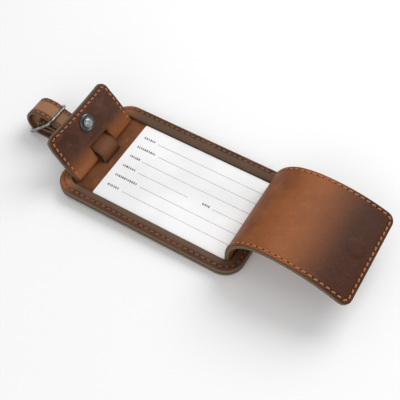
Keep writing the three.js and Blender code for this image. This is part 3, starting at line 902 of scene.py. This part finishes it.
def make_materials(colours):
    """All finishes, from the colours in the panel."""
    dark, mid, light = (tuple(c) + (1.0,) for c in (colours.dark, colours.mid, colours.light))
    thread = tuple(colours.thread) + (1.0,)
    rim, raw = rgb(70, 42, 28), rgb(112, 101, 84)
    MATERIALS["frame"] = leather(
        "frame_leather", dark, mid, light, rgb(88, 58, 38), raw, rim_width=1.2, gloss=0.5,
        inner=(rgb(94, 74, 57), 3.2, 4.6),
        tone_and_light_bands=[(rgb(164, 102, 54), BODY_LEFT + 16.0, BODY_LEFT + 4.0, 0.65)],
    )
    MATERIALS["back"] = leather(
        "back_leather", rgb(84, 62, 46), rgb(104, 82, 62), rgb(122, 98, 76), rim, raw,
    )
    MATERIALS["lining"] = leather(
        "lining_leather", rgb(90, 50, 24), rgb(118, 70, 36), rgb(136, 84, 46), rim, raw, gloss=0.55,
    )
    # Long flap: darker at its root by the crease, more orange toward the curl, a painted highlight band from
    # about 30 mm along, then darker toward the free end, partly the leather's own darker tone and partly
    # painted shade where the end catches no reflection.
    MATERIALS["long_flap"] = leather(
        "long_flap_leather", rgb(110, 60, 30), rgb(130, 75, 39), rgb(150, 90, 50), rim, raw,
        gloss=0.4, shine=0.14, rim_width=1.0,
        tone_and_light_bands=[(rgb(64, 36, 20), 3.0, -1.5, 0.85), (rgb(154, 84, 34), 22.0, 2.0, 0.6),
              (rgb(160, 98, 60), 26.0, 38.0, 0.4), (rgb(36, 13, 5), 40.0, 70.0, 0.92)],
    )
    # Short flap: lighter and more orange toward the fold, a painted highlight on the bent base.
    MATERIALS["short_flap"] = leather(
        "short_flap_leather", rgb(62, 34, 22), rgb(80, 48, 32), rgb(112, 72, 48), rim, raw,
        gloss=0.45, rim_width=1.0, tone_and_light_bands=[(rgb(142, 82, 40), 12.0, 2.0, 0.8)],
    )
    # Strap: a painted highlight down its middle, past 1.8 mm from the edges; below STRAP_JOIN + 34 mm the
    # strap is darkened back to plain brown, so the highlight shows on the loop and the tail.
    MATERIALS["strap"] = leather(
        "strap_leather", rgb(84, 48, 28), rgb(108, 66, 40), rgb(130, 84, 54), rim, raw,
        gloss=0.5, rim_width=0.8, inner=(rgb(158, 116, 84), 1.8, 4.6),
        tone_and_light_bands=[(rgb(98, 58, 31), STRAP_JOIN + 48.0, STRAP_JOIN + 34.0, 0.95)],
    )
    MATERIALS["thread"] = thread_material("waxed_thread", thread, rgb(122, 64, 28))
    MATERIALS["dark_thread"] = thread_material("waxed_thread_dark", rgb(144, 84, 46), rgb(70, 36, 18))
    # Needle holes: near-black painted shade of the holes, on small plugs set at each hole.
    MATERIALS["hole"] = leather(
        "needle_hole", rgb(30, 15, 8), rgb(46, 24, 14), rgb(60, 34, 20), rgb(30, 15, 8),
        rgb(30, 15, 8), gloss=0.7,
    )
    MATERIALS["steel"] = metal("buckle_steel", rgb(160, 160, 158), rgb(108, 108, 107), 0.2, 0.38)
    MATERIALS["nickel"] = metal("snap_nickel", rgb(196, 199, 202), rgb(122, 127, 131), 0.16, 0.3)
    # The stud darkens below 1.2 mm of height: painted shade over its flange and round the nub.
    MATERIALS["stud"] = metal("snap_stud_nickel", rgb(186, 188, 190), rgb(128, 131, 134), 0.14, 0.28,
                              recess=(rgb(74, 77, 80), 1.2, 0.62))
    MATERIALS["card"] = paper_material()
    MATERIALS["ink"] = ink_material("label_ink", rgb(54, 54, 56), rgb(120, 120, 122))
    MATERIALS["rule"] = ink_material("ruled_ink", rgb(146, 146, 148), rgb(188, 188, 190))


def add_stitches(name, points, pitch, height, seed, place, body, slot_thread, keep=None,
                 closed=False, thread="thread", **style):
    """A run of stitches and its needle holes, on one body."""
    runs, holes = stitched(points, pitch, height, seed, closed, **style)
    if keep:
        runs, holes = only(runs, *keep), only(holes, *keep)
    stitches = make_object(f"{name}_stitches", runs, place, thread, body)
    pricks = make_object(f"{name}_needle_holes", holes, place, "hole", body)
    return stitches, pricks


# ---- Panel properties ----

class TagSizes(bpy.types.PropertyGroup):
    """Sizes of the stitching and the rounding that a maker would change."""

    stitch_pitch: bpy.props.FloatProperty(
        name="Stitch pitch", description="Length from one stitch to the next", default=0.0034, unit="LENGTH")
    thread_width: bpy.props.FloatProperty(
        name="Thread width", description="Width of the waxed thread", default=0.00092, unit="LENGTH")
    flap_inset: bpy.props.FloatProperty(
        name="Flap stitch inset", description="Stitch line in from the flaps' edges",
        default=0.0020, unit="LENGTH")
    rounding: bpy.props.FloatProperty(
        name="Edge rounding", description="Radius of the leather's worn edges",
        default=0.00055, unit="LENGTH")
    bump: bpy.props.FloatProperty(
        name="Snap bump", description="Height of the hidden snap cap under the long flap's face",
        default=0.00042, unit="LENGTH")


class TagColours(bpy.types.PropertyGroup):
    """Colours of the leather and the thread."""

    dark: bpy.props.FloatVectorProperty(
        name="Leather, dark", description="Oiled parts of the leather", subtype="COLOR",
        default=rgb(60, 38, 26)[:3], min=0.0, max=1.0)
    mid: bpy.props.FloatVectorProperty(
        name="Leather, middle", description="Most of the leather", subtype="COLOR",
        default=rgb(88, 58, 38)[:3], min=0.0, max=1.0)
    light: bpy.props.FloatVectorProperty(
        name="Leather, light", description="Rubbed parts of the leather", subtype="COLOR",
        default=rgb(120, 80, 52)[:3], min=0.0, max=1.0)
    thread: bpy.props.FloatVectorProperty(
        name="Thread", description="Waxed thread", subtype="COLOR",
        default=rgb(188, 114, 58)[:3], min=0.0, max=1.0)


# ---- Pieces ----

FACE_DEEP = 4.2  # where a flap's even grid begins, in from its edge
STUD_SCALE = 0.94
STRAP_CORNER, STRAP_INSET = 2.8, 1.45
BAR_STEPS, WIRE_STEPS = 28, 20


def body_loop(inset, height, edge):
    """A loop set in from the tag body's outline."""
    return (BODY_LEFT + inset, BODY_RIGHT - inset, BODY_WIDTH / 2 - inset,
            max(0.8, BODY_CORNER - inset), height, edge)


def slot_loop(grow, height, edge):
    """A loop round the strap's slot."""
    return (SLOT_LEFT - grow, SLOT_RIGHT + grow, SLOT_HALF + grow, 0.5 + grow, height, edge)


def window_loop(out, height, edge):
    """A loop set back from the window's edge, with room for the card under the right rail."""
    room = CARD_ROOM if height < CARD_ROOM_TOP else 0.0
    return (BODY_LEFT + LEFT_RAIL - out, BODY_RIGHT - RIGHT_RAIL + out + room,
            BODY_WIDTH / 2 - SIDE_RAIL + out, WINDOW_CORNER + out, height, edge)


class TAG_OT_body(bpy.types.Operator):
    """Back panel, floor lining and the stitched window frame"""

    bl_idname = "luggage_tag.body"
    bl_label = "Tag body"

    def execute(self, context):
        sizes = context.scene.tag_sizes
        low, high = 0.0, BACK_THICKNESS
        back = ring([
            slot_loop(0.25, low, 1), body_loop(1.2, low, 2), body_loop(0.35, low + 0.08, 0.4),
            body_loop(0.06, low + 0.35, RAW), body_loop(0.0, low + 0.8, RAW),
            body_loop(0.06, high - 0.3, RAW), body_loop(0.3, high, RAW), body_loop(1.2, high, 2),
            slot_loop(0.25, high, 1), slot_loop(0, high - 0.25, RAW), slot_loop(0, low + 0.25, RAW),
        ])
        panel = make_object("back_panel_leather", back, tag_point, "back", "tag_body", sharp=50)
        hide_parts("back_panel")
        lining = ring([
            slot_loop(0.2, LINER_BOTTOM, 1), body_loop(0.9, LINER_BOTTOM, 1),
            body_loop(0.6, LINER_BOTTOM + 0.12, RAW), body_loop(0.6, LINER_TOP - 0.12, RAW),
            body_loop(0.9, LINER_TOP, 5), slot_loop(2.5, LINER_TOP, 5), slot_loop(0.9, LINER_TOP, 1),
            slot_loop(0.25, LINER_TOP - 0.05, 0.3), slot_loop(0, LINER_TOP - 0.2, RAW),
        ])
        floor = make_object("floor_lining_leather", lining, tag_point, "lining", "tag_body", sharp=50)
        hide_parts("floor_lining")
        self.frame(sizes)
        return {"FINISHED"}

    def frame(self, sizes):
        """The window frame: its outer and inner outlines are (inset, height) from low to high."""
        outer = [(0.5, 2.6), (0.15, 2.66), (0.0, 2.95), (0.05, 3.5), (0.0, 3.95), (0.1, 4.3),
                 (0.32, 4.58), (0.65, 4.74), (1.05, 4.83), (1.45, 4.86), (1.8, 4.83), (2.1, 4.73),
                 (2.35, 4.56), (2.55, 4.5), (2.75, 4.56), (3.05, 4.73), (3.45, 4.83), (4.4, 4.82)]
        inner = [(2.3, 4.7), (2.0, 4.6), (1.4, 4.46), (0.8, 4.28), (0.4, 4.08), (0.12, 3.8),
                 (0.0, 3.45), (0.04, 3.25), (0.0, 2.9), (0.12, 2.68), (0.5, 2.6)]
        loops = []
        for inset, height in outer:
            side = 0.35 < inset and height > 2.7 or height > 4.4
            loops.append(body_loop(inset, height, inset if side else RAW))
        for out, height in inner:
            loops.append(window_loop(out, height, SIDE_RAIL - out if height > 3.5 else 6.5))

        def worn(x, y, height):
            if height < 3.0:
                return 0.0
            return 0.05 * math.sin(x * 0.31 + 1.3) * math.cos(y * 0.23) + 0.03 * math.sin(x * 0.83)

        rail = make_object("window_frame_leather", ring(loops, worn), tag_point, "frame", "tag_body")
        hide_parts("window_frame", "frame_thread")
        line = rounded_loop(BODY_LEFT + STITCH_INSET, BODY_RIGHT - STITCH_INSET,
                            BODY_WIDTH / 2 - STITCH_INSET, BODY_CORNER - STITCH_INSET)
        add_stitches("frame", line, sizes.stitch_pitch / MM, 4.56, 3, tag_point, "tag_body", "thread",
                     closed=True, width=sizes.thread_width / MM, rise=0.36, thread="dark_thread")


CARD_LEFT, CARD_RIGHT, RULE_WIDTH = 4.0, 80.0, 0.28


class TAG_OT_card(bpy.types.Operator):
    """The address card with its ruled lines and blank labels"""

    bl_idname = "luggage_tag.card"
    bl_label = "Address card"

    def execute(self, context):
        card = frame["nodes"]["address_card"]
        card.data.materials.clear()
        card.data.materials.append(MATERIALS["card"])
        for slot in card.material_slots:
            slot.material = MATERIALS["card"]
        labels, rules = Surface(), Surface()
        picker = random.Random(5)
        rows = [(19.0, 7.5), (11.6, 12.5), (4.2, 6.5), (-3.2, 8.5), (-10.6, 14.5), (-18.0, 8.0)]
        for y, length in rows:
            self.label(labels, CARD_LEFT, y, length, picker)
            begin = CARD_LEFT + length + 1.5
            if length == 8.5:  # the one row that is divided in two
                self.bar(rules, begin, 46.0, y - 0.5, RULE_WIDTH)
                self.label(labels, 55.0, y, 5.0, picker)
                begin = 61.5
            self.bar(rules, begin, CARD_RIGHT, y - 0.5, RULE_WIDTH)
        for name, marks, ink in (("card_labels", labels, "ink"), ("card_rules", rules, "rule")):
            piece = make_object(name, marks, tag_point, ink, "card")
        return {"FINISHED"}

    def bar(self, surface, left, right, y, width):
        """A low printed bar on the card."""
        below, above = y - width / 2, y + width / 2
        corners = [(left, below), (right, below), (right, above), (left, above)]
        low = [surface.add((a, b, CARD_TOP - 0.01)) for a, b in corners]
        top = [surface.add((a, b, CARD_TOP + 0.015)) for a, b in corners]
        surface.grid([low, top], closed=True)
        surface.faces += [top, low[::-1]]

    def label(self, surface, left, y, length, picker):
        """A blank row of short upright marks in place of words."""
        x = left
        while x < left + length - 0.8:
            wide = picker.uniform(0.5, 0.85)
            self.bar(surface, x, x + wide, y, picker.uniform(1.15, 1.5))
            x += wide + picker.uniform(0.45, 0.6)


FACE_ONLY = -1.3  # relief is left out below this height, on the back layer


def snap_bump(bump):
    """Relief of the long flap's face: slow waves and the rise over the hidden snap cap."""
    def relief(s, y, height):
        away = math.hypot(s - (LONG_LENGTH - SOCKET_FROM_TIP), y)
        if height < FACE_ONLY:
            return 0.0
        dome = bump * (1 - smooth(away, 3.4, 5.6))
        dome += 0.25 * bump * math.exp(-((away - 4.6) / 0.5) ** 2)
        wave = 0.08 * math.sin(s * 0.17 + y * 0.06) * math.cos(y * 0.11)
        return dome + wave * (1 - smooth(abs(y), 22, 27)) * smooth(s, 6, 16)
    return relief


class TAG_OT_long_flap(bpy.types.Operator):
    """The long privacy flap, cut into lengths between its joints"""

    bl_idname = "luggage_tag.long_flap"
    bl_label = "Long flap"

    def execute(self, context):
        sizes = context.scene.tag_sizes
        inset = sizes.flap_inset / MM
        profile = edge_profile(FLAP_THICKNESS, sizes.rounding / MM, FACE_DEEP, inset)
        skin = sheet(FLAP_START, LONG_LENGTH, FLAP_TIP_HALF, FLAP_CORNER, profile, 1.2, 0.8,
                     snap_bump(sizes.bump / MM))
        line = flap_line(1.0, LONG_LENGTH, FLAP_TIP_HALF, FLAP_CORNER, inset)
        spans = [
            ("root", "tag_body", "long_flap_crease", -0.9, 6.8,
             ["long_flap_root", "long_flap_face_crease", "long_flap_shell_crease"]),
            ("curl", "long_flap_crease", "long_flap_curl", 9.8, 21.4,
             ["long_flap_face_curl", "long_flap_shell_curl"]),
            ("arch", "long_flap_curl", "long_flap_arch", 24.0, 36.0,
             ["long_flap_face_arch", "long_flap_shell_arch"]),
            ("tail", "long_flap_arch", "long_flap_tail", 50.0, 70.0,
             ["long_flap_face_tail", "long_flap_shell_tail"]),
        ]
        columns = sorted({round(point.x, 6) for point in skin.flat})
        cuts = [min(columns, key=lambda s: abs(s - cut)) for cut in FLAP_CUTS]
        limits = [-100.0] + cuts + [1000.0]
        for index, (name, first, second, begin, finish, nodes) in enumerate(spans):
            low, high = limits[index], limits[index + 1]
            piece = make_object(f"long_flap_{name}_leather", skin, place_long, "long_flap",
                                keep=lambda middle: low < middle.x < high)
            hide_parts(*nodes)
            run = [piece] + list(add_stitches(
                f"long_flap_{name}", line, sizes.stitch_pitch / MM, -0.12, 11, place_long, None, "thread",
                keep=(low, high), width=sizes.thread_width / MM, rise=0.42))
            for item in run:
                tuple(place_long(begin, 0, -FLAP_THICKNESS / 2))
                tuple(place_long(finish, 0, -FLAP_THICKNESS / 2))
                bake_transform(item)
        return {"FINISHED"}


class TAG_OT_short_flap(bpy.types.Operator):
    """The short snap flap with its notch for the strap"""

    bl_idname = "luggage_tag.short_flap"
    bl_label = "Short flap"

    def execute(self, context):
        sizes = context.scene.tag_sizes
        inset = sizes.flap_inset / MM
        profile = edge_profile(FLAP_THICKNESS, sizes.rounding / MM, FACE_DEEP, inset)

        def relief(s, y, height):
            away = math.hypot(s - STUD_FROM_HINGE, y)
            return -0.14 * math.exp(-((away - 5.9) / 1.1) ** 2) if height > FACE_ONLY else 0.0

        skin = sheet(-SHORT_TAB - SHORT_TURN + 0.2, SHORT_LENGTH, SHORT_HALF, SHORT_CORNER, profile,
                     1.2, 0.7, relief, notch=(-2.6, NOTCH_LENGTH, NOTCH_HALF))
        piece = make_object("short_flap_leather", skin, place_short, "short_flap")
        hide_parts("short_flap_root", "short_flap_face", "short_flap_shell", "short_flap_thread")
        line = flap_line(1.4, SHORT_LENGTH, SHORT_HALF, SHORT_CORNER, inset)
        run = [piece] + list(add_stitches(
            "short_flap", line, sizes.stitch_pitch / MM, -0.12, 17, place_short, None, "thread",
            width=sizes.thread_width / MM, rise=0.42))
        for item in run:
            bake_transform(item)
        return {"FINISHED"}


class TAG_OT_snap(bpy.types.Operator):
    """The stud on the short flap and the hidden socket on the long flap"""

    bl_idname = "luggage_tag.snap"
    bl_label = "Snap"

    def execute(self, context):
        def on_short(x, y, z):
            px, pz, angle = SHORT_PATH.at(STUD_FROM_HINGE + STUD_SCALE * x + SHORT_TAB + SHORT_TURN)
            return tag_point(px + z * math.sin(angle), STUD_SCALE * y, pz - z * math.cos(angle))

        seat = LONG_PATH.at(LONG_LENGTH - SOCKET_FROM_TIP)

        def on_long(x, y, z):
            px, pz, angle = seat
            return tag_point(px + x * math.cos(angle) - z * math.sin(angle), y,
                             pz + x * math.sin(angle) + z * math.cos(angle))

        stud = [(0, -1.2), (1.5, -1.2), (1.5, 0.0), (5.1, 0.0), (5.1, 0.3), (4.7, 0.55), (4.1, 0.62),
                (3.9, 0.34), (3.2, 0.3), (3.0, 1.15), (2.15, 1.1), (1.85, 1.4), (2.15, 1.8),
                (1.85, 2.1), (0.95, 2.1), (0.7, 1.4), (0, 1.35)]
        self.part("snap_stud_metal", stud, on_short, "short_flap", "stud", "nickel", "snap_stud")
        top = -FLAP_THICKNESS - 0.05
        cap = [(0, top - 0.7), (2.6, top - 0.68), (3.9, top - 0.5), (4.5, top - 0.2), (4.6, top),
               (1.5, top), (1.5, -1.5), (0, -1.5)]
        self.part("snap_stud_cap_metal", cap, on_short, "short_flap", "steel", "steel", "snap_stud_cap")
        seat_height = -FLAP_THICKNESS - 0.25
        base = seat_height - 0.5
        rim = base - 1.6
        socket = [(0, rim + 1.1), (2.3, rim + 1.1), (2.5, rim + 0.3), (2.7, rim), (3.4, rim),
                  (3.65, rim + 0.3), (3.9, base), (4.7, base - 0.05), (5.1, base + 0.2),
                  (5.1, seat_height), (1.5, seat_height), (1.5, -1.6), (0, -1.6)]
        self.part("snap_socket_metal", socket, on_long, "long_flap_tail", "nickel", "nickel", "snap_socket")
        hidden = frame["nodes"]["snap_socket_cap"]
        for slot in hidden.material_slots:
            slot.material = MATERIALS["steel"]
        return {"FINISHED"}

    def part(self, name, profile, place, body, material, slot, cad):
        """One turned part of the snap."""
        shape = turned(eased(profile))
        piece = make_object(name, shape, place, material, body, sharp=40)
        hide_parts(cad)


class TAG_OT_strap(bpy.types.Operator):
    """The strap, from its folded end round the buckle's bar, through the tag and back to its tail"""

    bl_idname = "luggage_tag.strap"
    bl_label = "Strap"

    def execute(self, context):
        sizes = context.scene.tag_sizes
        profile = edge_profile(STRAP_THICKNESS, 0.5, 2.6, STRAP_INSET)

        def relief(s, y, height):
            return 0.06 * math.sin(s * 0.35) * math.cos(y * 0.5)

        skin = sheet(0.0, STRAP_LENGTH, STRAP_HALF, STRAP_CORNER, profile, 1.2, 0.55, relief)
        piece = make_object("strap_leather", skin, place_strap, "strap", "tag_body")
        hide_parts("strap_bight", "strap_loop", "strap_buckle_end")
        line = flap_line(2.0, STRAP_LENGTH, STRAP_HALF, STRAP_CORNER, STRAP_INSET)
        spans = {"strap_lower": (-100.0, STRAP_JOIN - 16.0), "strap_upper": (STRAP_JOIN + 22.0, 1000.0)}
        for name, span in spans.items():
            add_stitches(name, line, sizes.stitch_pitch / MM, -0.18, 23, place_strap, "tag_body", "thread",
                         keep=span, width=0.66, rise=0.22)
        return {"FINISHED"}


class TAG_OT_buckle(bpy.types.Operator):
    """The centre-bar buckle of rounded wire"""

    bl_idname = "luggage_tag.buckle"
    bl_label = "Buckle"

    def execute(self, context):
        loops = []
        for i in range(WIRE_STEPS):
            turn = 2 * math.pi * i / WIRE_STEPS
            inset = BUCKLE_WIRE / 2 * (1 - math.cos(turn))
            height = BUCKLE_DEPTH / 2 * math.sin(turn)
            reach = BUCKLE_WIRE / 2 - inset
            loops.append((-BUCKLE_LOW - reach, BUCKLE_HIGH + reach, BUCKLE_HALF + reach,
                          max(0.9, BUCKLE_CORNER - inset), height, 5.0))

        def bowed(u, y, height):
            return 0.3 * smooth(abs(u), 8.0, 12.5) * (-1 if u > 0 else 1)

        wire = ring(loops, bowed)
        bar = turned([(0, -BUCKLE_HALF), (BAR_RADIUS, -BUCKLE_HALF), (BAR_RADIUS, BUCKLE_HALF),
                      (0, BUCKLE_HALF)], BAR_STEPS)
        bar.flat = [Vector((point.x, point.z, point.y)) for point in bar.flat]
        wire.extend(bar)
        piece = make_object("buckle_metal", wire, place_buckle, "steel", "buckle", sharp=45)
        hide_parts("buckle_frame")
        return {"FINISHED"}


# ---- Stage ----

FLOOR_SIDE, FLOOR_GREY, WORLD_STRENGTH = 3.0, 0.82, 0.66
CAMERA_PLACE, CAMERA_TURN, CAMERA_DIP = (170.41, -200.31, 343.89), 30.67, 55.91
CAMERA_SENSOR, CAMERA_LENS = 36.0, 69.08


def area_light(name, place, aim, size, power):
    """A round soft light; sizes and places in metres, power in watts."""
    data = bpy.data.lights.new(name, "AREA")
    data.shape = "DISK"
    data.size = size
    data.energy = power
    light = bpy.data.objects.new(name, data)
    light.location = place
    light.rotation_euler = (Vector(aim) - Vector(place)).to_track_quat("-Z", "Y").to_euler()
    bpy.context.scene.collection.objects.link(light)


class TAG_OT_stage(bpy.types.Operator):
    """Pale floor, soft studio light and the camera"""

    bl_idname = "luggage_tag.stage"
    bl_label = "Stage"

    def execute(self, context):
        scene = context.scene
        scene.view_settings.view_transform = "Standard"
        material, _, shader = new_material("pale_floor", 0.85)
        shader.inputs["Base Color"].default_value = (FLOOR_GREY,) * 3 + (1.0,)
        shader.inputs["Specular IOR Level"].default_value = 0.1
        mesh = bpy.data.meshes.new("floor")
        side = FLOOR_SIDE
        corners = [(-side, -side, 0), (side, -side, 0), (side, side, 0), (-side, side, 0)]
        mesh.from_pydata(corners, [], [(0, 1, 2, 3)])
        mesh.materials.append(material)
        floor = bpy.data.objects.new("floor", mesh)
        scene.collection.objects.link(floor)
        world = bpy.data.worlds.new("studio")
        world.use_nodes = True
        sky = world.node_tree.nodes["Background"]
        sky.inputs["Color"].default_value = (1.0, 1.0, 1.0, 1.0)
        sky.inputs["Strength"].default_value = WORLD_STRENGTH
        scene.world = world
        area_light("key_light", (0.22, 0.64, 0.66), (0.0, 0.0, 0.0), 0.7, 5.8)
        area_light("fill_light", (0.1, -0.75, 0.4), (0.05, 0.0, 0.0), 0.9, 2.6)
        self.camera(scene)
        return {"FINISHED"}

    def camera(self, scene):
        """The camera, placed from the tag body."""
        data = bpy.data.cameras.new("camera")
        data.sensor_width = CAMERA_SENSOR
        data.lens = CAMERA_LENS
        data.clip_start = 0.01
        camera = bpy.data.objects.new("camera", data)
        turn, dip = math.radians(CAMERA_TURN), math.radians(CAMERA_DIP)
        level = math.cos(dip)
        ahead = Vector((-math.sin(turn) * level, math.cos(turn) * level, -math.sin(dip)))
        right = Vector((math.cos(turn), math.sin(turn), 0.0))
        lean = Matrix.Rotation(TILT, 3, "Y")
        ahead, right = lean @ ahead, lean @ right
        upward = right.cross(ahead)
        turned_to = Matrix((right, upward, -ahead)).transposed()
        place = Matrix.Translation(tag_point(*CAMERA_PLACE))
        camera.matrix_world = place @ turned_to.to_4x4()
        scene.collection.objects.link(camera)
        scene.camera = camera


class TAG_PT_panel(bpy.types.Panel):
    """Lists the tag's pieces, sizes and colours"""

    bl_idname = "TAG_PT_panel"
    bl_label = "Luggage Tag"
    bl_space_type = "VIEW_3D"
    bl_region_type = "UI"
    bl_category = "Tag"

    def draw(self, context):
        layout = self.layout
        for group in (context.scene.tag_sizes, context.scene.tag_colours):
            for name in group.bl_rna.properties.keys():
                if name not in {"rna_type", "name"}:
                    layout.prop(group, name)
        for step in STEPS:
            layout.operator(step.bl_idname)


STEPS = (TAG_OT_body, TAG_OT_card, TAG_OT_long_flap, TAG_OT_short_flap, TAG_OT_snap, TAG_OT_strap,
         TAG_OT_buckle, TAG_OT_stage)
CLASSES = (TagSizes, TagColours) + STEPS + (TAG_PT_panel,)


def register():
    for item in CLASSES:
        bpy.utils.register_class(item)
    bpy.types.Scene.tag_sizes = bpy.props.PointerProperty(type=TagSizes)
    bpy.types.Scene.tag_colours = bpy.props.PointerProperty(type=TagColours)


def unregister():
    del bpy.types.Scene.tag_colours
    del bpy.types.Scene.tag_sizes
    for item in reversed(CLASSES):
        bpy.utils.unregister_class(item)


def main():
    register()
    make_materials(bpy.context.scene.tag_colours)
    for step in STEPS:
        group, name = step.bl_idname.split(".")
        getattr(getattr(bpy.ops, group), name)()


if __name__ == "__main__":
    main()
